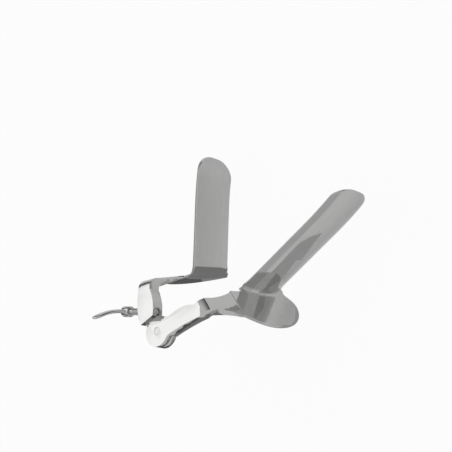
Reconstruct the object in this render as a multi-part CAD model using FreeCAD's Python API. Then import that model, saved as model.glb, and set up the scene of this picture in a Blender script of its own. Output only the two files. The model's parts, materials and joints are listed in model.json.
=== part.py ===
# Side-open bivalve speculum: two blades on laterally offset arms, half-lap pivot and spreading screw
import FreeCAD, Part
import math
import os

# Working frame while modelling: X from the anterior to the posterior valve, Y from the arms' outer
# face across to the open side, Z along the anterior blade towards its tip. The pivot axis is Y through
# the origin. Each valve is drawn closed, with its outward side at +X, then mirrored or turned.

Vec = FreeCAD.Vector
origin = Vec(0, 0, 0)
alongX = Vec(1, 0, 0)
alongY = Vec(0, 1, 0)
alongZ = Vec(0, 0, 1)

# Sheet and blades
sheetThickness = 1.6
bladeWidth = 32.0
bladeMiddle = 52.0
tipRoundLength = 13.0
tipFlat = 1.2
heelBendRadius = 4.0
heelSideRadius = 7.0
sheetReach = 80.0
sheetSpan = 72.0

# Flange rim: distances across from the arms' outer face and out from the mid-plane
seamAcross = 26.0
rimSeamOut = 22.8
rimShoulder = (30.0, 40.0)
lobeOut = 31.5
lobeAcross = 50.0
rimTurn = (23.0, 69.0)
rimFar = (10.0, 74.0)
rimCorner = (0.5, 70.0)
innerSeamOut = 2.5
innerHeel = (0.5, 36.0)

# Arms
armThickness = 8.0
strapRootThickness = 5.4
bendOuterRadius = 6.5
bendInnerRadius = 2.2
lapClearance = 0.06
pivotDiscRadius = 9.8
lapShoulderDistance = 11.2
lapShoulderLean = 23.0
lapBackGap = 0.9
lapFlatDistance = 6.0
lapFlatLean = 50.0

# Opening of the valves as they rest, and the tip's distance from the pivot for finding its contact
openAngle = 56.0
tipDistance = 100.0
restAccuracy = 0.05

# Pivot screw and friction washer
pivotRadius = 2.5
runningClearance = 0.04
pivotHeadRadius = 4.6
pivotHeadHeight = 1.8
pivotSlotWidth = 1.0
pivotSlotDepth = 0.8
washerThickness = 0.7
washerRadius = 5.6

# Spreading screw and wing lever
screwRadius = 2.2
screwTilt = 10.0
screwHeight = 13.1
screwTipOut = 4.4
hubOut = 28.5
hubLength = 6.5
hubRadius = 3.4
spigotRadius = 1.5
spigotClearance = 0.05
domeHeight = 1.3
leafReach = 27.0
leafSweep = 8.0
leafWidth = 7.5
leafThickness = 1.8
leafWave = 2.2
leafAngle = 20.5

# The two valves: (out, along) points of the plate's long edges from the lap up, and of its end in the lap
anterior = {
    "chordOut": 0.6,
    "troughDepth": 4.6,
    "bladeLength": 80.0,
    "flangeHeight": 46.0,
    "flangeSlope": 0.22,
    "bendOut": (7.2, 17.4),
    "innerEdge": [(4.0, 10.5), (4.1, 19.5)],
    "outerEdge": [(15.0, 6.4), (18.0, 17.5)],
    "lapEdge": [(8.6, -4.6), (-1.5, 9.6)],
}
posterior = {
    "chordOut": 3.0,
    "troughDepth": 4.6,
    "bladeLength": 90.0,
    "flangeHeight": 48.6,
    "flangeSlope": 0.18,
    "bendOut": (8.8, 18.2),
    "innerEdge": [(-1.6, 7.4), (-0.4, 14.0), (1.2, 20.5)],
    "outerEdge": [(8.9, 7.0), (11.6, 15.8)],
    "lapEdge": [(8.4, -4.9), (-3.0, 4.0)],
}


def line(a, b):
    return Part.LineSegment(a, b).toShape()


def smoothEdge(points):
    curve = Part.BSplineCurve()
    curve.interpolate(points)
    return curve.toShape()


def prism(edges, push):
    """Closed outline of edges, pushed along a direction."""
    return Part.Face(Part.Wire(Part.__sortEdges__(edges))).extrude(push)


def troughRadius(valve):
    """Radius of the arc with the blade's chord and depth."""
    depth = valve["troughDepth"]
    return (bladeWidth ** 2 / 4 + depth ** 2) / (2 * depth)


def flangeTop(valve, across):
    """Height of the flange's distal face at a distance across."""
    return valve["flangeHeight"] + valve["flangeSlope"] * (across - bladeMiddle)


def sheetShell(valve):
    """Trough wall, heel bend and flat flange of even thickness, turned about the trough's axis."""
    radius = troughRadius(valve)
    axisOut = valve["chordOut"] + valve["troughDepth"] - radius
    base = valve["flangeHeight"]
    top = base + 1.3 * valve["bladeLength"]
    centre = radius + sheetThickness + heelBendRadius

    def at(r, z):
        return Vec(axisOut + r, bladeMiddle, z)

    def bend(r):
        diagonal = r * math.sqrt(0.5)
        start = at(centre - r, base + heelBendRadius)
        middle = at(centre - diagonal, base + heelBendRadius - diagonal)
        return Part.Arc(start, middle, at(centre, base + heelBendRadius - r)).toShape()

    foot = base + heelBendRadius
    outer = radius + sheetThickness
    edges = [
        line(at(radius, top), at(radius, foot)),
        bend(heelBendRadius + sheetThickness),
        line(at(centre, base - sheetThickness), at(sheetReach, base - sheetThickness)),
        line(at(sheetReach, base - sheetThickness), at(sheetReach, base)),
        line(at(sheetReach, base), at(centre, base)),
        bend(heelBendRadius),
        line(at(outer, foot), at(outer, top)),
        line(at(outer, top), at(radius, top)),
    ]
    profile = Part.Face(Part.Wire(Part.__sortEdges__(edges)))
    axisPoint = Vec(axisOut, bladeMiddle, 0)
    profile.rotate(axisPoint, alongZ, -sheetSpan)
    return profile.revolve(axisPoint, alongZ, 2 * sheetSpan)


def heelOutline(valve):
    """Seen from outside: straight blade sides that sweep into the flange with side radii."""
    base = valve["flangeHeight"]
    top = base + 1.4 * valve["bladeLength"]
    low = base - 2 * sheetThickness
    half = bladeWidth / 2
    r = heelSideRadius
    offset = r * (1 - math.sqrt(0.5))

    def at(y, z):
        return Vec(-sheetReach, bladeMiddle + y, z)

    edges = [line(at(-half, top), at(half, top)), line(at(-sheetReach, low), at(sheetReach, low))]
    for side in (-1, 1):
        corner = at(side * (half + offset), base + offset)
        edges += [
            line(at(side * half, top), at(side * half, base + r)),
            Part.Arc(at(side * half, base + r), corner, at(side * (half + r), base)).toShape(),
            line(at(side * (half + r), base), at(side * sheetReach, base)),
            line(at(side * sheetReach, base), at(side * sheetReach, low)),
        ]
    return prism(edges, Vec(3 * sheetReach, 0, 0))


def sloped(shape, valve):
    """Slides the shape along Z in proportion to the distance across, which slopes the flange."""
    slope = valve["flangeSlope"]
    matrix = FreeCAD.Matrix(1, 0, 0, 0, 0, 1, 0, 0, 0, slope, 1, -slope * bladeMiddle, 0, 0, 0, 1)
    moved = shape.transformGeometry(matrix)
    moved.fix(1e-4, 1e-4, 1e-3)
    return moved


def tipOutline(valve):
    """Seen from outside: everything below the blade's rounded end."""
    top = valve["flangeHeight"] + valve["bladeLength"]
    start = top - tipRoundLength
    low = valve["flangeHeight"] - sheetReach / 2
    half = bladeWidth / 2
    steps = 6

    def at(y, z):
        return Vec(-sheetReach, bladeMiddle + y, z)

    def curve(side):
        points = []
        for i in range(steps + 1):
            turn = math.pi / 2 * i / steps
            y = tipFlat + (half - tipFlat) * math.cos(turn)
            points.append(at(side * y, start + tipRoundLength * math.sin(turn)))
        return smoothEdge(points)

    edges = [curve(-1), curve(1), line(at(-tipFlat, top), at(tipFlat, top))]
    edges.append(line(at(-sheetReach, low), at(sheetReach, low)))
    for side in (-1, 1):
        edges.append(line(at(side * half, start), at(side * sheetReach, start)))
        edges.append(line(at(side * sheetReach, start), at(side * sheetReach, low)))
    return prism(edges, Vec(3 * sheetReach, 0, 0))


def flangeOutline(valve):
    """Seen along the blade: rim from the seam with the arm, round the lobe and back at the open side."""
    def at(out, across):
        return Vec(out, across, -sheetReach)

    rim = smoothEdge([
        at(rimSeamOut, seamAcross), at(*rimShoulder), at(lobeOut, lobeAcross),
        at(*rimTurn), at(*rimFar), at(*rimCorner),
    ])
    inner = smoothEdge([at(innerSeamOut, seamAcross), at(*innerHeel)])
    edges = [
        rim,
        line(at(*rimCorner), at(*innerHeel)),
        inner,
        line(at(innerSeamOut, seamAcross), at(rimSeamOut, seamAcross)),
    ]
    return prism(edges, Vec(0, 0, 4 * sheetReach))


def makeBlade(valve):
    blade = sloped(sheetShell(valve).common(heelOutline(valve)), valve)
    return blade.common(tipOutline(valve)).common(flangeOutline(valve)).Solids[0]


def bendStart(valve):
    return flangeTop(valve, 0) - bendOuterRadius


def makeStrap(valve):
    """Bend and tapering strap, from the plate's top end to the seam with the flange."""
    slope = valve["flangeSlope"]
    low = bendStart(valve)
    left = -sheetReach
    outerTop = flangeTop(valve, bendOuterRadius)
    rootAcross = armThickness + bendInnerRadius
    rootLow = flangeTop(valve, rootAcross) - strapRootThickness
    seamTop = flangeTop(valve, seamAcross)

    def at(y, z):
        return Vec(left, y, z)

    outerShift = bendOuterRadius * (1 - math.sqrt(0.5))
    outerMiddle = at(outerShift, outerTop - (1 + slope) * outerShift)
    innerShift = bendInnerRadius * (1 - math.sqrt(0.5))
    innerMiddle = at(armThickness + innerShift, rootLow - innerShift)
    edges = [
        line(at(0, low), at(armThickness, low)),
        line(at(armThickness, low), at(armThickness, rootLow - bendInnerRadius)),
        Part.Arc(at(armThickness, rootLow - bendInnerRadius), innerMiddle, at(rootAcross, rootLow)).toShape(),
        line(at(rootAcross, rootLow), at(seamAcross, seamTop - sheetThickness)),
        line(at(seamAcross, seamTop - sheetThickness), at(seamAcross, seamTop)),
        line(at(seamAcross, seamTop), at(bendOuterRadius, outerTop)),
        Part.Arc(at(bendOuterRadius, outerTop), outerMiddle, at(0, low)).toShape(),
    ]
    profile = prism(edges, Vec(3 * sheetReach, 0, 0))
    inner, outer = valve["bendOut"]

    def plan(out, across):
        return Vec(out, across, -sheetReach)

    outline = [
        line(plan(inner, -1), plan(inner, armThickness)),
        smoothEdge([plan(inner, armThickness), plan((inner + innerSeamOut) / 2 + 0.6, 18.0), plan(innerSeamOut, seamAcross)]),
        line(plan(innerSeamOut, seamAcross), plan(rimSeamOut, seamAcross)),
        smoothEdge([plan(outer, armThickness), plan((outer + rimSeamOut) / 2 - 0.9, 18.0), plan(rimSeamOut, seamAcross)]),
        line(plan(outer, armThickness), plan(outer, -1)),
        line(plan(outer, -1), plan(inner, -1)),
    ]
    return profile.common(prism(outline, Vec(0, 0, 4 * sheetReach)))


def plateLayer(valve, start, depth):
    """Part of the plate between two depths, without the lap disc."""
    inner, outer = valve["bendOut"]
    top = bendStart(valve)

    def at(out, along):
        return Vec(out, start, along)

    innerSide = [at(*point) for point in valve["innerEdge"]] + [at(inner, top)]
    outerSide = [at(*point) for point in valve["outerEdge"]] + [at(outer, top)]
    end = [outerSide[0]] + [at(*point) for point in valve["lapEdge"]] + [innerSide[0]]
    edges = [smoothEdge(innerSide), smoothEdge(outerSide), line(innerSide[-1], outerSide[-1])]
    edges += [line(a, b) for a, b in zip(end, end[1:])]
    return prism(edges, Vec(0, depth, 0))


def lapDisc(start, depth, radius):
    return Part.makeCylinder(radius, depth, Vec(0, start, 0), alongY)


def halfSpace(start, depth, distance, lean):
    """Slab of everything beyond a straight shoulder at a distance from the pivot."""
    box = Part.makeBox(6 * pivotDiscRadius, depth, 6 * pivotDiscRadius)
    box.translate(Vec(-3 * pivotDiscRadius, start, distance))
    box.rotate(origin, alongY, lean)
    return box


def makeArm(valve, lapInFront):
    """Plate with a half lap at the pivot, the bend and the strap."""
    half = armThickness / 2
    lap = half - lapClearance
    if lapInFront:
        front = plateLayer(valve, 0, half).fuse(lapDisc(0, lap, pivotDiscRadius))
        front = front.cut(halfSpace(-1, 2 * half, lapFlatDistance, -lapFlatLean).common(
            lapDisc(-1, 2 * half, pivotDiscRadius + 1).cut(plateLayer(valve, -1, 2 * half))))
        front = front.cut(lapDisc(lap, half, pivotDiscRadius + lapBackGap))
        back = plateLayer(valve, half, half).cut(lapDisc(0, 3 * half, pivotDiscRadius + lapBackGap))
    else:
        slab = plateLayer(valve, 0, half + lapClearance)
        front = slab.common(halfSpace(-1, 2 * half, lapShoulderDistance, lapShoulderLean))
        back = plateLayer(valve, half + lapClearance, lap).fuse(lapDisc(half + lapClearance, lap, pivotDiscRadius))
    arm = front.fuse([back, makeStrap(valve)])
    return arm.removeSplitter()


def screwPlaced(shape):
    """Turns a shape drawn along +X from the screw's tip onto the spreading screw's axis."""
    shape.rotate(origin, alongY, -screwTilt)
    shape.translate(Vec(screwTipOut, armThickness / 2, screwHeight))
    return shape


def screwHole(radius):
    length = 2 * hubOut
    hole = Part.makeCylinder(radius, length, Vec(-length / 3, 0, 0), alongX)
    return screwPlaced(hole)


def makeSpreadingScrew():
    shoulder = hubOut - screwTipOut
    tip = Part.makeCone(screwRadius - 0.7, screwRadius, 0.7, origin, alongX)
    shank = Part.makeCylinder(screwRadius, shoulder - 0.7, Vec(0.7, 0, 0), alongX)
    spigot = Part.makeCylinder(spigotRadius, hubLength + 2 * spigotClearance, Vec(shoulder, 0, 0), alongX)
    domeRadius = (hubRadius - 0.8)
    sphere = (domeRadius ** 2 + domeHeight ** 2) / (2 * domeHeight)
    domeFoot = shoulder + hubLength + 2 * spigotClearance
    dome = Part.makeSphere(sphere, Vec(domeFoot + domeHeight - sphere, 0, 0))
    dome = dome.common(Part.makeCylinder(hubRadius, 2 * domeHeight, Vec(domeFoot, 0, 0), alongX))
    return screwPlaced(tip.fuse([shank, spigot, dome]).removeSplitter())


def leafSolid():
    """One curved leaf: its outline seen along Z, within a thin slab waved along its length."""
    middle = hubLength / 2
    halfWidth = leafWidth / 2
    root = hubRadius - 0.6
    deep = 4 * leafWave + leafThickness

    def at(out, across):
        return Vec(out, -across, -deep)

    nearSide = smoothEdge([
        at(middle - 0.42 * hubLength, root), at(middle - 0.2 * halfWidth, 0.45 * leafReach),
        at(middle + leafSweep - 0.95 * halfWidth, 0.88 * leafReach), at(middle + leafSweep, leafReach),
    ])
    farSide = smoothEdge([
        at(middle + 0.42 * hubLength, root), at(middle + 1.2 * halfWidth, 0.45 * leafReach),
        at(middle + leafSweep + 0.75 * halfWidth, 0.86 * leafReach), at(middle + leafSweep, leafReach),
    ])
    closing = line(at(middle - 0.42 * hubLength, root), at(middle + 0.42 * hubLength, root))
    outline = prism([nearSide, farSide, closing], Vec(0, 0, 2 * deep))

    def wave(across, lift):
        return Vec(-2 * leafReach, -across, lift + leafWave * math.sin(math.pi * across / leafReach))

    spread = [root - 1.5 + i * (leafReach + 3 - root) / 6 for i in range(7)]
    low = smoothEdge([wave(y, -leafThickness / 2) for y in spread])
    high = smoothEdge([wave(y, leafThickness / 2) for y in spread])
    ends = [line(wave(y, -leafThickness / 2), wave(y, leafThickness / 2)) for y in (spread[0], spread[-1])]
    return outline.common(prism([low, high] + ends, Vec(5 * leafReach, 0, 0)))


def makeWingLever():
    hub = Part.makeCylinder(hubRadius, hubLength, origin, alongX)
    leaf = leafSolid()
    other = leaf.copy()
    other.rotate(origin, alongX, 180)
    lever = hub.fuse([leaf, other])
    bore = Part.makeCylinder(spigotRadius + spigotClearance, 3 * hubLength, Vec(-hubLength, 0, 0), alongX)
    lever = lever.cut(bore).removeSplitter()
    lever.rotate(origin, alongX, leafAngle)
    lever.translate(Vec(hubOut - screwTipOut + spigotClearance, 0, 0))
    return screwPlaced(lever)


def makePivotScrew():
    """Flush end in the posterior arm, running shank through the lap, slotted head behind the washer."""
    headFoot = armThickness + washerThickness + runningClearance
    shank = Part.makeCylinder(pivotRadius, headFoot, origin, alongY)
    head = Part.makeCylinder(pivotHeadRadius, pivotHeadHeight, Vec(0, headFoot, 0), alongY)
    slot = Part.makeBox(3 * pivotHeadRadius, 2 * pivotSlotDepth, pivotSlotWidth)
    slot.translate(Vec(-1.5 * pivotHeadRadius, headFoot + pivotHeadHeight - pivotSlotDepth, -pivotSlotWidth / 2))
    return shank.fuse(head.cut(slot)).removeSplitter()


def makePivotWasher():
    ring = Part.makeCylinder(washerRadius, washerThickness, Vec(0, armThickness, 0), alongY)
    return ring.cut(Part.makeCylinder(pivotRadius + runningClearance, 3 * armThickness, origin, alongY))


def mirrored(shape):
    return shape.mirror(origin, alongX)


def opened(shape):
    return shape.rotate(origin, alongY, openAngle)


def buildPieces():
    anteriorArm = makeArm(anterior, False)
    anteriorArm = anteriorArm.cut(lapDisc(-1, 3 * armThickness, pivotRadius + runningClearance))
    anteriorArm = anteriorArm.cut(screwHole(screwRadius + runningClearance))
    posteriorArm = makeArm(posterior, True).cut(lapDisc(-1, 3 * armThickness, pivotRadius))
    pieces = {
        "anterior_blade": mirrored(makeBlade(anterior)),
        "anterior_arm": mirrored(anteriorArm),
        "spreading_screw": mirrored(makeSpreadingScrew()),
        "wing_lever": mirrored(makeWingLever()),
        "pivot_washer": makePivotWasher(),
        "posterior_blade": opened(makeBlade(posterior)),
        "posterior_arm": opened(posteriorArm),
        "pivot_screw": opened(makePivotScrew()),
    }
    return pieces


def restPlacement(pieces):
    """Lays the open side down on the two flanges and the posterior tip, centred over the origin."""
    anteriorPoints = pieces["anterior_blade"].tessellate(restAccuracy)[0]
    posteriorPoints = pieces["posterior_blade"].tessellate(restAccuracy)[0]
    tipPoints = [p for p in posteriorPoints if math.hypot(p.x, p.z) > tipDistance]
    heelPoints = [p for p in posteriorPoints if math.hypot(p.x, p.z) < tipDistance]
    down = alongY
    for turn in range(8):
        a, b, c = [max(points, key=down.dot) for points in (anteriorPoints, heelPoints, tipPoints)]
        down = (b - a).cross(c - a).normalize()
        down = down if down.y > 0 else -down
    laid = FreeCAD.Rotation(alongX, -90)
    level = FreeCAD.Rotation(laid.multVec(down), -alongZ)
    rotation = level.multiply(laid)
    box = FreeCAD.BoundBox()
    for shape in pieces.values():
        turned = shape.copy()
        turned.transformShape(rotation.toMatrix())
        box.add(turned.optimalBoundingBox(False, False))
    centre = box.Center
    return FreeCAD.Placement(Vec(-centre.x, -centre.y, -box.ZMin), rotation)


pieces = buildPieces()
rest = restPlacement(pieces)
os.makedirs("parts", exist_ok=True)
for name, shape in pieces.items():
    shape.transformShape(rest.toMatrix())
    print(name, shape.isValid(), len(shape.Solids), round(shape.Volume, 1))
    shape.exportStep("parts/" + name + ".step")
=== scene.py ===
import json
import math
import bmesh
import bpy
import numpy as np
from mathutils import Matrix, Vector


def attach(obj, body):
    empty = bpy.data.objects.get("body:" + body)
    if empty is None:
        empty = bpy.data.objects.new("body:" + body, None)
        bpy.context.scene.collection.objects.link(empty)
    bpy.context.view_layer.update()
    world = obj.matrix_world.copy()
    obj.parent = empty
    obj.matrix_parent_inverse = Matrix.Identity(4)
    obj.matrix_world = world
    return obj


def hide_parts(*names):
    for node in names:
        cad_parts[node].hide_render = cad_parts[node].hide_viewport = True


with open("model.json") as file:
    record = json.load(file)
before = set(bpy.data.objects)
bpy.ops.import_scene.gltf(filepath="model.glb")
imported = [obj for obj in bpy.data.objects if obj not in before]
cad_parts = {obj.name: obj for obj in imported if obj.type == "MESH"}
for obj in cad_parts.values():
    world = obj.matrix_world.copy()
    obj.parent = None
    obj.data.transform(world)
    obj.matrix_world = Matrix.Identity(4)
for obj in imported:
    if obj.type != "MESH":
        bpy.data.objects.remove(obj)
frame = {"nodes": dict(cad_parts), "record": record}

mm = 0.001
scene = bpy.context.scene
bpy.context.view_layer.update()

# Axes of the instrument, worked out from the record's joints: X from the anterior to the posterior valve,
# Y across from the arms' outer face to the open side, Z along the anterior blade
layout = {
    "screwTilt": math.radians(10.0),   # the spreading screw's lean from the X axis
    "openAngle": math.radians(56.0),   # between the blades as they rest
    "jointDepth": 4.0,                 # of the pivot joint's point behind the outer face, mm
    "seamAcross": 26.0,                # where the flange sheet meets the arm's strap, mm
    "seamTolerance": 0.01,
}


def unit(v):
    return v / np.linalg.norm(v)


joints = {joint["name"]: joint for joint in frame["record"]["behaviour"]["joints"]}
acrossAxis = unit(np.array(joints["valve_pivot"]["axis"]))
feedAxis = unit(np.array(joints["lever_turn"]["axis"]))
sideAxis = np.cross(acrossAxis, feedAxis)
outwardX = math.cos(layout["screwTilt"]) * feedAxis - math.sin(layout["screwTilt"]) * sideAxis
alongZ = -math.sin(layout["screwTilt"]) * feedAxis - math.cos(layout["screwTilt"]) * sideAxis
pivotPoint = np.array(joints["valve_pivot"]["pos_m"]) - layout["jointDepth"] * mm * acrossAxis
screwTip = np.array(joints["lever_turn"]["pos_m"])
screwOut = -feedAxis
screwUp = math.sin(layout["screwTilt"]) * outwardX + math.cos(layout["screwTilt"]) * alongZ

turn = layout["openAngle"]
posteriorOut = math.cos(turn) * outwardX - math.sin(turn) * alongZ
posteriorAlong = math.sin(turn) * outwardX + math.cos(turn) * alongZ
instrumentAxes = (pivotPoint, outwardX, acrossAxis, alongZ)
anteriorAxes = (pivotPoint, -outwardX, acrossAxis, alongZ)
posteriorAxes = (pivotPoint, posteriorOut, acrossAxis, posteriorAlong)
screwAxes = (screwTip, screwOut, acrossAxis, screwUp)


# Millimetres along three axes from a point, as metres in the frame
def placed(points, axes):
    start, first, second, third = axes
    points = np.asarray(points, float) * mm
    return start + points[..., 0:1] * first + points[..., 1:2] * second + points[..., 2:3] * third


# The other way round: metres in the frame, as millimetres along the axes
def measured(points, axes):
    start, first, second, third = axes
    away = (np.asarray(points, float) - start) / mm
    return np.stack([away @ first, away @ second, away @ third], -1)


def leftHanded(axes):
    return np.dot(np.cross(axes[1], axes[2]), axes[3]) < 0


# A new object of the scene that shows some data: a mesh, a lamp or the camera
def linked(name, data):
    thing = bpy.data.objects.new(name, data)
    scene.collection.objects.link(thing)
    return thing


# A mesh from arrays of points and faces, smooth, riding on its body in place of the solids
def addPiece(name, points, faces, axes, material, body, nodes):
    faces = np.asarray(faces, int)
    if leftHanded(axes):
        faces = faces[:, ::-1]
    mesh = bpy.data.meshes.new(name)
    mesh.from_pydata(placed(points, axes).tolist(), [], faces.tolist())
    mesh.validate()
    mesh.shade_smooth()
    finishPiece(linked(name, mesh), material, body, nodes)


def finishPiece(piece, material, body, nodes):
    piece.data.materials.clear()
    piece.data.materials.append(material)
    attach(piece, body)
    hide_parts(*nodes)


# Quads of a grid of points stored row by row; closed joins the last column to the first
def gridFaces(rows, columns, start=0, closed=False):
    steps = columns if closed else columns - 1
    row, column = np.meshgrid(np.arange(rows - 1), np.arange(steps), indexing="ij")
    following = (column + 1) % columns
    corners = [row * columns + column, row * columns + following]
    corners += [(row + 1) * columns + following, (row + 1) * columns + column]
    return start + np.stack([c.ravel() for c in corners], -1)


# Natural cubic spline through points; spots run from 0 to 1 along the chord lengths
def splineThrough(points, spots):
    points = np.asarray(points, float)
    lengths = np.linalg.norm(np.diff(points, axis=0), axis=1)
    knots = np.concatenate([[0], np.cumsum(lengths)])
    count = len(points)
    system = np.eye(count)
    right = np.zeros_like(points)
    for i in range(1, count - 1):
        before, after = lengths[i - 1], lengths[i]
        system[i, i - 1:i + 2] = before, 2 * (before + after), after
        change = (points[i + 1] - points[i]) / after - (points[i] - points[i - 1]) / before
        right[i] = 6 * change
    bends = np.linalg.solve(system, right)
    at = np.asarray(spots) * knots[-1]
    i = np.clip(np.searchsorted(knots, at, side="right") - 1, 0, count - 2)
    length = lengths[i][:, None]
    low = (knots[i + 1] - at)[:, None]
    high = (at - knots[i])[:, None]
    straight = points[i] * low / length + points[i + 1] * high / length
    curvedLow = bends[i] * (low ** 3 / length - low * length)
    curvedHigh = bends[i + 1] * (high ** 3 / length - high * length)
    return straight + (curvedLow + curvedHigh) / 6


# Materials

finish = {
    "steel": (0.62, 0.62, 0.615, 1.0),
    "turned": (0.56, 0.56, 0.555, 1.0),
    "roughness": 0.075,
    "turnedRoughness": 0.16,
    "indexOfRefraction": 2.5,
    # Noises: scale across the polishing lines, detail, and the share of the scale that is left along them
    "lineNoise": (900.0, 3.0, 0.02),
    "waveNoise": (60.0, 1.0, 0.5),
    "cloudNoise": (95.0, 4.0, 1.0),
    "smudgeRange": (0.52, 0.75),        # of the cloud noise, from clear to smudged
    "lineRoughness": 0.12,
    "smudgeRoughness": 0.10,
    "leastRoughness": 0.02,
    "smudgeDark": 0.12,
    "lineDark": 0.25,
    "waveHeight": 0.6,
    "lineHeight": 0.06,
    "bumpDistance": 0.0004,
    "bladeWear": (0.6, 0.5, 0.25),      # strength of the lines, smudges and bump
    "armWear": (0.4, 0.3, 0.12),
    "screwWear": (0.5, 0.4, 0.1),
    "leverWear": (0.5, 0.4, 0.2),
}


def newMaterial(name):
    material = bpy.data.materials.new(name)
    material.use_nodes = True
    return material


# A maths node in a tree; its two inputs are numbers or the outputs of other nodes
def mathNode(tree, kind, a, b):
    node = tree.nodes.new("ShaderNodeMath")
    node.operation = kind
    for socket, value in zip(node.inputs, (a, b)):
        if isinstance(value, (int, float)):
            socket.default_value = value
        else:
            tree.links.new(value, socket)
    return node.outputs[0]


# Hand-polished steel: long faint lines one way, a slow waviness and a few cloudy smudges
def polishGroup():
    group = bpy.data.node_groups.new("polished metal wear", "ShaderNodeTree")
    sockets = {
        "INPUT": [("Position", "Vector"), ("Colour", "Color"), ("Roughness", "Float"),
                  ("Line Strength", "Float"), ("Smudges", "Float")],
        "OUTPUT": [("Colour", "Color"), ("Roughness", "Float"), ("Height", "Float")],
    }
    for way, rows in sockets.items():
        for name, kind in rows:
            group.interface.new_socket(name, in_out=way, socket_type="NodeSocket" + kind)
    nodes, links = group.nodes, group.links
    given, out = nodes.new("NodeGroupInput"), nodes.new("NodeGroupOutput")

    def noise(scale, detail, stretch):
        mapping = nodes.new("ShaderNodeMapping")
        mapping.inputs["Scale"].default_value = (1.0, 1.0, stretch)
        links.new(given.outputs["Position"], mapping.inputs["Vector"])
        texture = nodes.new("ShaderNodeTexNoise")
        texture.inputs["Scale"].default_value = scale
        texture.inputs["Detail"].default_value = detail
        links.new(mapping.outputs["Vector"], texture.inputs["Vector"])
        return texture.outputs["Fac"]

    def math2(kind, a, b):
        return mathNode(group, kind, a, b)

    lines, waves, clouds = (noise(*finish[kind]) for kind in ("lineNoise", "waveNoise", "cloudNoise"))
    ramp = nodes.new("ShaderNodeMapRange")
    ramp.inputs["From Min"].default_value, ramp.inputs["From Max"].default_value = finish["smudgeRange"]
    links.new(clouds, ramp.inputs["Value"])
    smudge = math2("MULTIPLY", ramp.outputs["Result"], given.outputs["Smudges"])
    lineRough = math2("MULTIPLY", math2("SUBTRACT", lines, 0.5), given.outputs["Line Strength"])
    rough = math2("ADD", given.outputs["Roughness"], math2("MULTIPLY", lineRough, finish["lineRoughness"]))
    rough = math2("ADD", rough, math2("MULTIPLY", smudge, finish["smudgeRoughness"]))
    links.new(math2("MAXIMUM", rough, finish["leastRoughness"]), out.inputs["Roughness"])
    shade = nodes.new("ShaderNodeMix")
    shade.data_type = "RGBA"
    shade.blend_type = "MULTIPLY"
    shade.inputs["Factor"].default_value = 1.0
    links.new(given.outputs["Colour"], shade.inputs["A"])
    level = math2("SUBTRACT", 1.0, math2("MULTIPLY", smudge, finish["smudgeDark"]))
    level = math2("ADD", level, math2("MULTIPLY", lineRough, finish["lineDark"]))
    grey = nodes.new("ShaderNodeCombineColor")
    for name in ("Red", "Green", "Blue"):
        links.new(level, grey.inputs[name])
    links.new(grey.outputs["Color"], shade.inputs["B"])
    links.new(shade.outputs["Result"], out.inputs["Colour"])
    raisedWaves = math2("MULTIPLY", waves, finish["waveHeight"])
    height = math2("ADD", raisedWaves, math2("MULTIPLY", lineRough, finish["lineHeight"]))
    links.new(height, out.inputs["Height"])
    return group


wear = polishGroup()


# Polished steel whose lines run along a direction of the frame
def steel(name, direction, wearName, colour=finish["steel"], roughness=finish["roughness"]):
    lineStrength, smudges, bump = finish[wearName]
    material = newMaterial(name)
    nodes, links = material.node_tree.nodes, material.node_tree.links
    shader = nodes["Principled BSDF"]
    shader.inputs["Metallic"].default_value = 1.0
    shader.inputs["IOR"].default_value = finish["indexOfRefraction"]
    place = nodes.new("ShaderNodeTexCoord")
    mapping = nodes.new("ShaderNodeMapping")
    mapping.vector_type = "TEXTURE"
    mapping.inputs["Rotation"].default_value = Vector(direction).to_track_quat("Z", "Y").to_euler()
    links.new(place.outputs["Object"], mapping.inputs["Vector"])
    group = nodes.new("ShaderNodeGroup")
    group.node_tree = wear
    group.inputs["Colour"].default_value = colour
    group.inputs["Roughness"].default_value = roughness
    group.inputs["Line Strength"].default_value = lineStrength
    group.inputs["Smudges"].default_value = smudges
    links.new(mapping.outputs["Vector"], group.inputs["Position"])
    links.new(group.outputs["Colour"], shader.inputs["Base Color"])
    links.new(group.outputs["Roughness"], shader.inputs["Roughness"])
    raised = nodes.new("ShaderNodeBump")
    raised.inputs["Strength"].default_value = bump
    raised.inputs["Distance"].default_value = finish["bumpDistance"]
    links.new(group.outputs["Height"], raised.inputs["Height"])
    links.new(raised.outputs["Normal"], shader.inputs["Normal"])
    return material


anteriorSteel = steel("anterior blade steel", alongZ, "bladeWear")
posteriorSteel = steel("posterior blade steel", posteriorAlong, "bladeWear")
anteriorArmSteel = steel("anterior arm steel", alongZ, "armWear")
posteriorArmSteel = steel("posterior arm steel", posteriorAlong, "armWear")
screwSteel = steel("turned screw steel", screwOut, "screwWear", finish["turned"], finish["turnedRoughness"])
leverSteel = steel("wing lever steel", acrossAxis, "leverWear")
print("materials ready")


# Blades: one formed sheet from the rounded tip down the trough, round the heel bend and out to the rim

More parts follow.
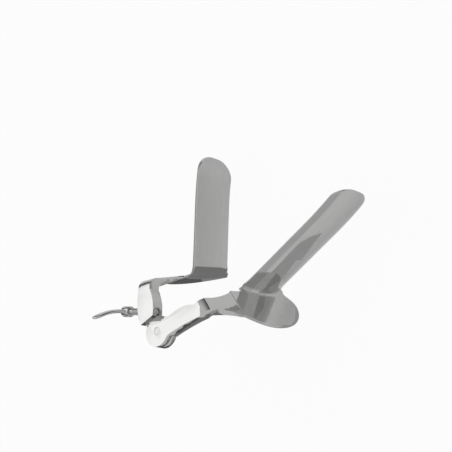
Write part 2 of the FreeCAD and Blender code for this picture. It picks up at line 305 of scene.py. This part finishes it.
sheet = {
    "thickness": 1.6,
    "tipRoundLength": 12.5,
    "tipFlat": 1.5,          # half the straight part of the tip's end
    "tipCurls": [(1.6, 8.0), (2.6, 34.0)],   # turns into the lumen: how far, and over what length
    "heelBendRadius": 4.0,
    "heelSideRadius": 7.0,
    "rim": [(22.8, 26.0), (30.0, 40.0), (31.5, 50.0), (23.0, 69.0), (10.0, 73.0)],
    "rimEnd": (0.3, 0.6),    # of the rim past the end of the bend
    "columns": 73,
    "seamInner": (2.5, 26.0),
    "seamColumns": 16,
    "bladeRows": 46,
    "bendRows": 12,
    "flangeRows": 14,
    "edgeSteps": 7,
    "leastLength": 1e-9,     # keeps a division away from zero
}
blades = {
    "anterior": {
        "width": 32.0, "middle": 52.0, "chordOut": 3.9, "depth": 3.2, "length": 80.0,
        "lean": -0.05,           # outwards for each unit of height over the flange
        "flangeHeight": 46.0, "slope": 0.22,
        "spread": (7.0, 2.2),    # how far the near and the far edge run out sideways in the heel
    },
    "posterior": {
        "width": 30.0, "middle": 51.5, "chordOut": -3.5, "depth": 4.6, "length": 92.0,
        "lean": 0.072, "flangeHeight": 48.6, "slope": 0.18, "spread": (2.0, 2.2),
    },
}


# Middle surface and its unit normals as grids of (out, across, along) points.
# Trough: out is the axis plus the radius times the cosine of the angle whose sine is across over radius.
# Each tip curl takes off its depth times the square of the share of its length that lies behind the point.
# Edges: the half width grows in the heel by the spread times one less the root of one less the fall squared.
# Heel: the radius about the trough's axis is that of the bend's centre less the bend's own radius times the
# cosine of the turn, while the height falls with its sine.
# Flange: straight lines in plan from the heel to a natural spline through the rim's points.
def bladeSheet(values):
    half = sheet["thickness"] / 2
    depth, width, middle = values["depth"], values["width"], values["middle"]
    radius = (width ** 2 / 4 + depth ** 2) / (2 * depth)
    axisOut = values["chordOut"] + depth - radius
    base, slope = values["flangeHeight"], values["slope"]
    bend = sheet["heelBendRadius"]
    centre = radius + sheet["thickness"] + bend
    foot, top = base + bend, base + values["length"]
    spread = np.sin(math.pi / 2 * np.linspace(-1, 1, sheet["columns"]))
    reach = np.where(spread < 0, *values["spread"])

    def sideways(z):
        fall = np.clip(1 - (z - base) / sheet["heelSideRadius"], 0, 1)
        return spread * (width / 2 - half + reach * (1 - np.sqrt(1 - fall ** 2)))

    points, normals = [], []
    # Trough, and its tip as a quarter ellipse either side of a short straight end
    flat = sheet["tipFlat"]
    fall = np.clip((np.abs(spread) * width / 2 - flat) / (width / 2 - flat), 0, 1)
    tip = top - sheet["tipRoundLength"] + (sheet["tipRoundLength"] - half) * np.sqrt(1 - fall ** 2)
    for q in np.sin(math.pi / 2 * np.linspace(1, 0, sheet["bladeRows"])):
        straight = spread * (width / 2 - half)
        z = (1 - q) * (foot + slope * straight) + q * tip
        y = sideways(z - slope * straight)
        angle = np.arcsin(y / (radius + half))
        out = axisOut + (radius + half) * np.cos(angle)
        tilt = np.zeros_like(y)
        for turnedIn, over in sheet["tipCurls"]:
            curl = np.clip((z - top + over) / over, 0, 1)
            out = out - turnedIn * curl ** 2
            tilt = tilt + 2 * turnedIn * curl / over
        points.append(np.stack([out, y, z], -1))
        normals.append(np.stack([np.cos(angle), np.sin(angle), tilt], -1))
    # Heel, slid to the flange's slope
    for turned in np.linspace(0, math.pi / 2, sheet["bendRows"] + 1)[1:]:
        r = centre - (bend + half) * math.cos(turned)
        level = foot - (bend + half) * math.sin(turned)
        y = sideways(level)
        angle = np.arcsin(y / r)
        points.append(np.stack([axisOut + r * np.cos(angle), y, level + slope * y], -1))
        facing = math.cos(turned)
        steep = -math.sin(turned) * np.ones_like(y)
        normals.append(np.stack([facing * np.cos(angle), facing * np.sin(angle) - slope * steep, steep], -1))
    # Flange, its rim kept half a thickness inside the outline for the round edge
    start = points[-1][:, :2]
    last = start[-1] + (0, middle)
    seam = np.linspace(sheet["seamInner"], sheet["rim"][0], sheet["seamColumns"])
    rimPoints = sheet["rim"] + [tuple(last + sheet["rimEnd"])]
    lobe = splineThrough(rimPoints, np.linspace(0, 1, sheet["columns"] - sheet["seamColumns"] + 1))
    side = np.gradient(lobe, axis=0)
    inwards = np.stack([-side[:, 1], side[:, 0]], -1)
    lobe = lobe + half * inwards / np.linalg.norm(inwards, axis=1)[:, None]
    lobe[0] = sheet["rim"][0]
    rim = np.concatenate([seam, lobe[1:]]) - (0, middle)
    for t in np.linspace(0, 1, sheet["flangeRows"] + 1)[1:]:
        plan = (1 - t) * start + t * rim
        level = base - half + slope * plan[:, 1]
        points.append(np.stack([plan[:, 0], plan[:, 1], level], -1))
        normals.append(np.tile([0.0, slope, -1.0], (len(plan), 1)))
    points, normals = np.array(points), np.array(normals)
    points[..., 1] += middle
    # The whole sheet leans outwards with the height over its flange
    points[..., 0] += values["lean"] * (points[..., 2] - base)
    normals[..., 2] -= values["lean"] * normals[..., 0]
    return points, normals / np.linalg.norm(normals, axis=-1, keepdims=True)


# Indices of the grid's outline, once round
def perimeter(rows, columns):
    index = np.arange(rows * columns).reshape(rows, columns)
    return np.concatenate([index[0, :-1], index[:-1, -1], index[-1, :0:-1], index[:0:-1, 0]])


# Both faces of the sheet, half a thickness either side of the middle, joined round the outline by an edge
# whose offset turns from one normal to the other through half a circle; the seam stays square
def thickSheet(points, normals, openEdge):
    rows, columns = points.shape[:2]
    half = sheet["thickness"] / 2
    middle, facing = points.reshape(-1, 3), normals.reshape(-1, 3)
    loop = perimeter(rows, columns)
    along = np.roll(middle[loop], -1, 0) - np.roll(middle[loop], 1, 0)
    outwards = np.cross(along, facing[loop])
    outwards /= np.linalg.norm(outwards, axis=1)[:, None] + sheet["leastLength"]
    swell = np.where(openEdge(middle[loop]), 1.0, 0.0)[:, None]
    turns = np.linspace(0, math.pi, sheet["edgeSteps"] + 1)[1:-1]
    edge = [middle[loop] + half * (math.cos(a) * facing[loop] + math.sin(a) * swell * outwards)
            for a in turns]
    vertices = np.concatenate([middle + half * facing, middle - half * facing] + edge)
    count = rows * columns
    outer = gridFaces(rows, columns)
    inner = gridFaces(rows, columns, count)[:, ::-1]
    between = [2 * count + k * len(loop) + np.arange(len(loop)) for k in range(len(turns))]
    rings = [loop] + between + [count + loop]
    strips = [np.stack([a, b, np.roll(b, -1), np.roll(a, -1)], -1) for a, b in zip(rings, rings[1:])]
    return vertices, np.concatenate([outer, inner] + strips)


def offSeam(points):
    return points[:, 1] > layout["seamAcross"] + layout["seamTolerance"]


def makeBlade(name, axes, material, body):
    points, normals = bladeSheet(blades[name])
    vertices, faces = thickSheet(points, normals, offSeam)
    node = name + "_blade"
    addPiece(name + "BladeSheet", vertices, faces, axes, material, body, [node])


makeBlade("anterior", anteriorAxes, anteriorSteel, "anterior_valve")
makeBlade("posterior", posteriorAxes, posteriorSteel, "posterior_valve")
print("blades made")


# Arms, washer and pivot screw: the solids with their edges eased as polishing leaves them

easing = {
    "arm": 0.55,                        # width of the rounding, mm
    "small": 0.2,
    "segments": 3,
    "sharpAngle": math.radians(28.0),
    "flatAngle": math.radians(0.3),     # facets closer than this are one face
    "mergeDistance": 2e-6,
    "seamReach": 0.02,                  # edges this near to the seam stay square, mm
}


# A merged copy of a solid whose sharp edges, apart from those at the seam, are rounded
def easedCopy(name, node, axes, width, material, body, seam=None):
    mesh = frame["nodes"][node].data.copy()
    mesh.name = name
    work = bmesh.new()
    work.from_mesh(mesh)
    bmesh.ops.remove_doubles(work, verts=work.verts, dist=easing["mergeDistance"])
    bmesh.ops.dissolve_limit(work, angle_limit=easing["flatAngle"], verts=work.verts, edges=work.edges)
    weight = work.edges.layers.float.new("bevel_weight_edge")
    for edge in work.edges:
        sharp = len(edge.link_faces) == 2 and edge.calc_face_angle() > easing["sharpAngle"]
        atSeam = False
        if sharp and seam is not None:
            ends = measured([list(v.co) for v in edge.verts], axes)
            atSeam = np.all(np.abs(ends[:, 1] - seam) < easing["seamReach"])
        edge[weight] = 1.0 if sharp and not atSeam else 0.0
        edge.smooth = not atSeam
    work.to_mesh(mesh)
    work.free()
    mesh.polygons.foreach_set("use_smooth", [True] * len(mesh.polygons))
    piece = linked(name, mesh)
    bevel = piece.modifiers.new("eased edges", "BEVEL")
    bevel.limit_method = "WEIGHT"
    bevel.width = width * mm
    bevel.segments = easing["segments"]
    bevel.use_clamp_overlap = True
    bevel.harden_normals = True
    finishPiece(piece, material, body, [node])


seam = layout["seamAcross"]
easedCopy("anteriorArmEased", "anterior_arm", anteriorAxes, easing["arm"], anteriorArmSteel,
          "anterior_valve", seam)
easedCopy("posteriorArmEased", "posterior_arm", posteriorAxes, easing["arm"], posteriorArmSteel,
          "posterior_valve", seam)
easedCopy("pivotScrewEased", "pivot_screw", instrumentAxes, easing["small"], screwSteel,
          "posterior_valve")
easedCopy("pivotWasherEased", "pivot_washer", instrumentAxes, easing["small"], screwSteel,
          "anterior_valve")
print("arms and pivot made")


# Spreading screw: a turned profile whose radius dips along a helix

screw = {
    "radius": 2.2,
    "tipRound": (0.35, 0.3),      # how far along and how far in the tip's middle ring lies
    "tipChamfer": 0.7,
    "shoulder": 24.1,
    "shoulderChamfer": 0.12,
    "shankEnd": 0.15,             # the shank's rings stop this far before the shoulder
    "spigotRadius": 1.5,
    "hubLength": 6.5,
    "hubPlay": 0.1,
    "domeRadius": 2.6,
    "domeHeight": 1.3,
    "domeRings": 9,
    "domeFrom": 0.03,             # share of the quarter turn at the dome's first ring
    "pitch": 0.8,
    "threadDepth": 0.32,
    "threadEnd": 22.0,
    "valleyShape": 1.4,           # over 1 makes the valleys narrower than the crests
    "ringsPerPitch": 10,
    "around": 48,
    "hole": 0.01,                 # radius left open at the tip
}


# Radius as a function of the distance along, carried round the axis
def turnedSurface(along, radius, around, dip=None):
    angle = np.linspace(0, 2 * math.pi, around, endpoint=False)
    r = np.repeat(np.asarray(radius, float)[:, None], around, 1)
    x = np.repeat(np.asarray(along, float)[:, None], around, 1)
    if dip is not None:
        r = r - dip(x, angle[None, :])
    return np.stack([x, r * np.cos(angle), r * np.sin(angle)], -1)


# The dip is the depth times a power of a raised cosine of the distance along, in pitches, less the share of a
# turn. It fades in over the first pitch and out over the last.
def screwThread(x, angle):
    phase = x / screw["pitch"] - angle / (2 * math.pi)
    valley = 0.5 - 0.5 * np.cos(2 * math.pi * phase)
    present = np.clip((screw["threadEnd"] - x) / screw["pitch"], 0, 1) * np.clip(x / screw["pitch"], 0, 1)
    return screw["threadDepth"] * valley ** screw["valleyShape"] * present


shoulder, chamfer, shankRadius = screw["shoulder"], screw["shoulderChamfer"], screw["radius"]
tipAlong, tipIn = screw["tipRound"]
ringStep = screw["pitch"] / screw["ringsPerPitch"]
shankAlong = np.arange(screw["tipChamfer"], shoulder - screw["shankEnd"], ringStep)
domeStart = shoulder + screw["hubLength"] + screw["hubPlay"]
domeTurn = math.pi / 2 * np.linspace(screw["domeFrom"], 1, screw["domeRings"])
along = np.concatenate([
    [0.0, 0.0, tipAlong], shankAlong, [shoulder - chamfer, shoulder, shoulder, domeStart],
    [domeStart], domeStart + screw["domeHeight"] * np.sin(domeTurn)])
radius = np.concatenate([
    [screw["hole"], shankRadius - screw["tipChamfer"], shankRadius - tipIn], shankRadius + 0 * shankAlong,
    [shankRadius, shankRadius - chamfer, screw["spigotRadius"], screw["spigotRadius"]],
    [screw["domeRadius"]], screw["domeRadius"] * np.cos(domeTurn) + screw["hole"] / 2])
turnedScrew = turnedSurface(along, radius, screw["around"], screwThread)
screwFaces = gridFaces(*turnedScrew.shape[:2], closed=True)[:, ::-1]
addPiece("spreadingScrewThread", turnedScrew.reshape(-1, 3), screwFaces, screwAxes, screwSteel,
         "screw", ["spreading_screw"])


# Wing lever: a turned hub and two leaves, each a pillowed section carried out along a waving middle line

lever = {
    "hubStart": 24.15,
    "hubLength": 6.5,
    "hubRadius": 3.4,
    "hubRound": (0.12, 0.4),     # the two steps of the hub's rounded rims
    "boreRadius": 1.55,
    "leafAngle": math.radians(20.5),
    "root": 2.0,
    "reach": 22.0,
    "wave": 2.0,
    "thickness": 2.6,
    "thinning": 0.25,            # share of the thickness lost from root to end
    "sectionShape": 0.75,        # under 1 makes the section fuller than an ellipse
    "endThickness": 0.97,        # share of the thickness squared that the rounded end takes off
    "leastWidth": 0.01,
    "stationShift": 0.9,
    # Stations from root to end, each with the leaf's middle or half width along the screw
    "middle": [(0.0, 3.25), (0.2, 3.5), (0.45, 5.1), (0.72, 8.2), (0.88, 10.2), (1.0, 11.2)],
    "halfWidth": [(0.0, 2.75), (0.2, 2.45), (0.45, 2.6), (0.72, 3.3), (0.88, 3.6), (1.0, 3.5)],
    "roundFrom": 0.82,
    "rows": 60,
    "around": 32,
}


# Ellipse-like section whose place and width follow splines through the stations. Over the rounded end the
# width closes as a circle does, and the thickness with the root of one less most of the fourth power.
# The thickness also falls with the distance out, and the middle line rises and falls with a sine of it.
# way is 1 or -1 across.
def leafSurface(way):
    u = np.linspace(0, 1, lever["rows"]) ** lever["stationShift"]
    middle = splineThrough(lever["middle"], u)[:, 1]
    width = splineThrough(lever["halfWidth"], u)[:, 1]
    closing = np.clip((u - lever["roundFrom"]) / (1 - lever["roundFrom"]), 0, 1)
    width = width * np.sqrt(1 - closing ** 2) + lever["leastWidth"]
    ending = np.sqrt(1 - lever["endThickness"] * closing ** 4)
    thick = lever["thickness"] / 2 * (1 - lever["thinning"] * u) * ending
    span = lever["root"] + u * (lever["reach"] - lever["root"])
    lift = lever["wave"] * np.sin(math.pi * span / lever["reach"])
    angle = np.linspace(0, 2 * math.pi, lever["around"], endpoint=False)
    rounded = np.sign(np.sin(angle)) * np.abs(np.sin(angle)) ** lever["sectionShape"]
    x = middle[:, None] + width[:, None] * np.cos(angle)
    z = lift[:, None] + thick[:, None] * rounded
    y = -span[:, None] * np.ones_like(x)
    return np.stack([x, way * y, way * z], -1)


def leverPoints():
    length, outer, bore = lever["hubLength"], lever["hubRadius"], lever["boreRadius"]
    small, large = lever["hubRound"]
    hubX = [0.0, 0.0, small, large, length - large, length - small, length, length, 0.0]
    hubR = [bore, outer - large, outer - small, outer, outer, outer - small, outer - large, bore, bore]
    hub = turnedSurface(hubX, hubR, lever["around"] * 2)
    parts = [(hub, False), (leafSurface(1), True), (leafSurface(-1), True)]
    vertices, faces, start = [], [], 0
    for surface, isLeaf in parts:
        rows, around = surface.shape[:2]
        quads = gridFaces(rows, around, start, closed=True)
        vertices.append(surface.reshape(-1, 3))
        faces.append(quads if isLeaf else quads[:, ::-1])
        start += rows * around
    points = np.concatenate(vertices)
    turned = lever["leafAngle"]
    y = points[:, 1] * math.cos(turned) - points[:, 2] * math.sin(turned)
    z = points[:, 1] * math.sin(turned) + points[:, 2] * math.cos(turned)
    return np.stack([points[:, 0] + lever["hubStart"], y, z], -1), np.concatenate(faces)


leverVertices, leverFaces = leverPoints()
addPiece("wingLeverLeaves", leverVertices, leverFaces, screwAxes, leverSteel,
         "lever", ["wing_lever"])
print("screw and lever made")


# Studio: pale floor, soft lamps and the camera at the photograph's place

studio = {
    "floorSize": 6.0,
    "floorColour": (0.9, 0.9, 0.9, 1.0),
    "floorRoughness": 0.9,
    "cameraWhite": 0.94,          # share of plain white that the camera sees in the floor
    "metalWhite": 0.25,           # and the share that the metal reflects
    "worldTop": (1.0, 1.0, 1.0, 1.0),
    "worldSide": (0.06, 0.06, 0.06, 1.0),
    "worldFade": (0.05, 0.7),     # heights between which the one turns into the other
    "worldStrength": 0.65,
    "paintedReflectionGlows": {                    # pale glowing sheets seen only in the metal, painted reflections: their direction along the posterior blade's out and along axes, and their width
        "sidePaintedReflection": ((0.90, -0.39), 1.6),    # blade's out and along axes, and their width
        "tipPaintedReflection": ((0.78, 0.60), 1.2),
    },
    "wallPlace": (0.9, 0.4, 0.5),   # distance, height and grey of both
    "cards": {                    # dark glowing sheets seen only in the metal, painted shade in its reflections: corners low and high, and the grey
        "farArmShadeCard": ((-0.22, -0.15), (-0.075, 0.0), 0.10),
        "nearArmShadeCard": ((-0.075, -0.15), (0.0, -0.085), 0.22),
        "flangeShadeCard": ((-0.075, -0.035), (-0.012, -0.005), 0.24),
        "bladeShadeCard": ((0.0, -0.15), (0.05, -0.041), 0.40),
        "tipShadeCard": ((0.0265, -0.041), (0.0505, -0.030), 0.40),
    },
    "cardHeight": 0.0005,
    "lamps": {                    # direction, distance, size and power
        "overheadSoftbox": ((-0.66, 0.29, 0.69), 1.0, (0.9, 0.7), 1.5),
    },
    "lampTarget": (0.0, 0.0, 0.04),
}


# A flat piece of the stage from its four corners
def addPlane(name, corners, material):
    mesh = bpy.data.meshes.new(name)
    mesh.from_pydata(corners, [], [(0, 1, 2, 3)])
    mesh.materials.append(material)
    return linked(name, mesh)


# The camera and the metal see part of the floor as plain white, all else sees its lit colour
def makeFloor():
    material = newMaterial("pale floor")
    tree = material.node_tree
    nodes, links = tree.nodes, tree.links
    shader = nodes["Principled BSDF"]
    shader.inputs["Base Color"].default_value = studio["floorColour"]
    shader.inputs["Roughness"].default_value = studio["floorRoughness"]
    white = nodes.new("ShaderNodeEmission")
    seen = nodes.new("ShaderNodeLightPath").outputs
    share = mathNode(tree, "MULTIPLY", seen["Is Camera Ray"], studio["cameraWhite"])
    for ray in ("Is Glossy Ray", "Is Transmission Ray"):
        share = mathNode(tree, "MAXIMUM", share, mathNode(tree, "MULTIPLY", seen[ray], studio["metalWhite"]))
    mix = nodes.new("ShaderNodeMixShader")
    links.new(share, mix.inputs[0])
    links.new(shader.outputs[0], mix.inputs[1])
    links.new(white.outputs[0], mix.inputs[2])
    links.new(mix.outputs[0], nodes["Material Output"].inputs["Surface"])
    size = studio["floorSize"] / 2
    corners = [(-size, -size, 0), (size, -size, 0), (size, size, 0), (-size, size, 0)]
    floor = addPlane("floor", corners, material)


# A glowing card that shows in the polished faces and nowhere else: a painted reflection, which is painted
# shade where it is dark
def makePaintedReflectionCard(name, corners, grey):
    material = newMaterial(name)
    nodes, links = material.node_tree.nodes, material.node_tree.links
    glow = nodes.new("ShaderNodeEmission")
    glow.inputs["Color"].default_value = (grey, grey, grey, 1.0)
    links.new(glow.outputs[0], nodes["Material Output"].inputs["Surface"])
    card = addPlane(name, corners, material)
    card.visible_camera = False
    card.visible_diffuse = False
    card.visible_shadow = False
    card.visible_transmission = False


# Light that grows with the height it comes from
def makeWorld():
    world = bpy.data.worlds.new("soft room")
    scene.world = world
    world.use_nodes = True
    nodes, links = world.node_tree.nodes, world.node_tree.links
    background = nodes["Background"]
    background.inputs["Strength"].default_value = studio["worldStrength"]
    place = nodes.new("ShaderNodeTexCoord")
    split = nodes.new("ShaderNodeSeparateXYZ")
    links.new(place.outputs["Generated"], split.inputs[0])
    ramp = nodes.new("ShaderNodeValToRGB")
    stops = zip(ramp.color_ramp.elements, studio["worldFade"], (studio["worldSide"], studio["worldTop"]))
    for stop, height, colour in stops:
        stop.position, stop.color = height, colour
    links.new(split.outputs["Z"], ramp.inputs["Fac"])
    links.new(ramp.outputs["Color"], background.inputs["Color"])


# A soft area lamp, looking at the instrument from a direction
def addLamp(name, direction, distance, size, power):
    lamp = bpy.data.lights.new(name, "AREA")
    lamp.shape = "RECTANGLE"
    lamp.size, lamp.size_y = size
    lamp.energy = power
    holder = linked(name, lamp)
    back = Vector(direction).normalized()
    holder.location = Vector(studio["lampTarget"]) + back * distance
    holder.rotation_mode = "QUATERNION"
    holder.rotation_quaternion = (-back).to_track_quat("-Z", "Y")


makeFloor()
makeWorld()
# Painted shade: dark glowing sheets that only the metal mirrors, standing in for the shaded floor beneath the
# instrument
for shadeCardName, (low, high, grey) in studio["cards"].items():
    spots = [low, (high[0], low[1]), high, (low[0], high[1])]
    makePaintedReflectionCard(shadeCardName, [(x, y, studio["cardHeight"]) for x, y in spots], grey)
# Painted reflections: pale glowing sheets that only the metal mirrors, lighting no other surface
wallAway, wallHeight, reflectionGlowGrey = studio["wallPlace"]
wallTop = np.array((0, 0, wallHeight))
for reflectionGlowName, (share, width) in studio["paintedReflectionGlows"].items():
    towards = unit((share[0] * posteriorOut + share[1] * posteriorAlong) * (1, 1, 0))
    foot = towards * wallAway
    side = np.cross((0, 0, 1), towards) * width / 2
    makePaintedReflectionCard(reflectionGlowName, [foot - side, foot + side, foot + side + wallTop, foot - side + wallTop], reflectionGlowGrey)
for lampName, values in studio["lamps"].items():
    addLamp(lampName, *values)

view = {
    "right": (0.720, 0.694, -0.006),     # the camera's axes and place along the instrument's own axes
    "up": (0.205, -0.204, 0.957),
    "back": (0.663, -0.691, -0.289),
    "place": (571.6, -533.9, -168.9),
    "focal": 1300.0,                     # in pixels of the 452 pixel frame
    "frame": 452.0,
    "sensor": 36.0,
    "clip": (0.05, 20.0),
}
axes3 = np.stack([outwardX, acrossAxis, alongZ])
back = unit(np.array(view["back"]) @ axes3)
right = unit(np.cross(np.array(view["up"]) @ axes3, back))
up = np.cross(back, right)
camera = bpy.data.cameras.new("camera")
camera.sensor_width = view["sensor"]
camera.lens = camera.sensor_width * view["focal"] / view["frame"]
camera.clip_start, camera.clip_end = view["clip"]
viewer = linked("camera", camera)
turned = Matrix(np.stack([right, up, back], 1).tolist()).to_4x4()
viewer.matrix_world = Matrix.Translation(placed(view["place"], instrumentAxes).tolist()) @ turned
scene.camera = viewer
scene.view_settings.view_transform = "Standard"
print("studio ready")
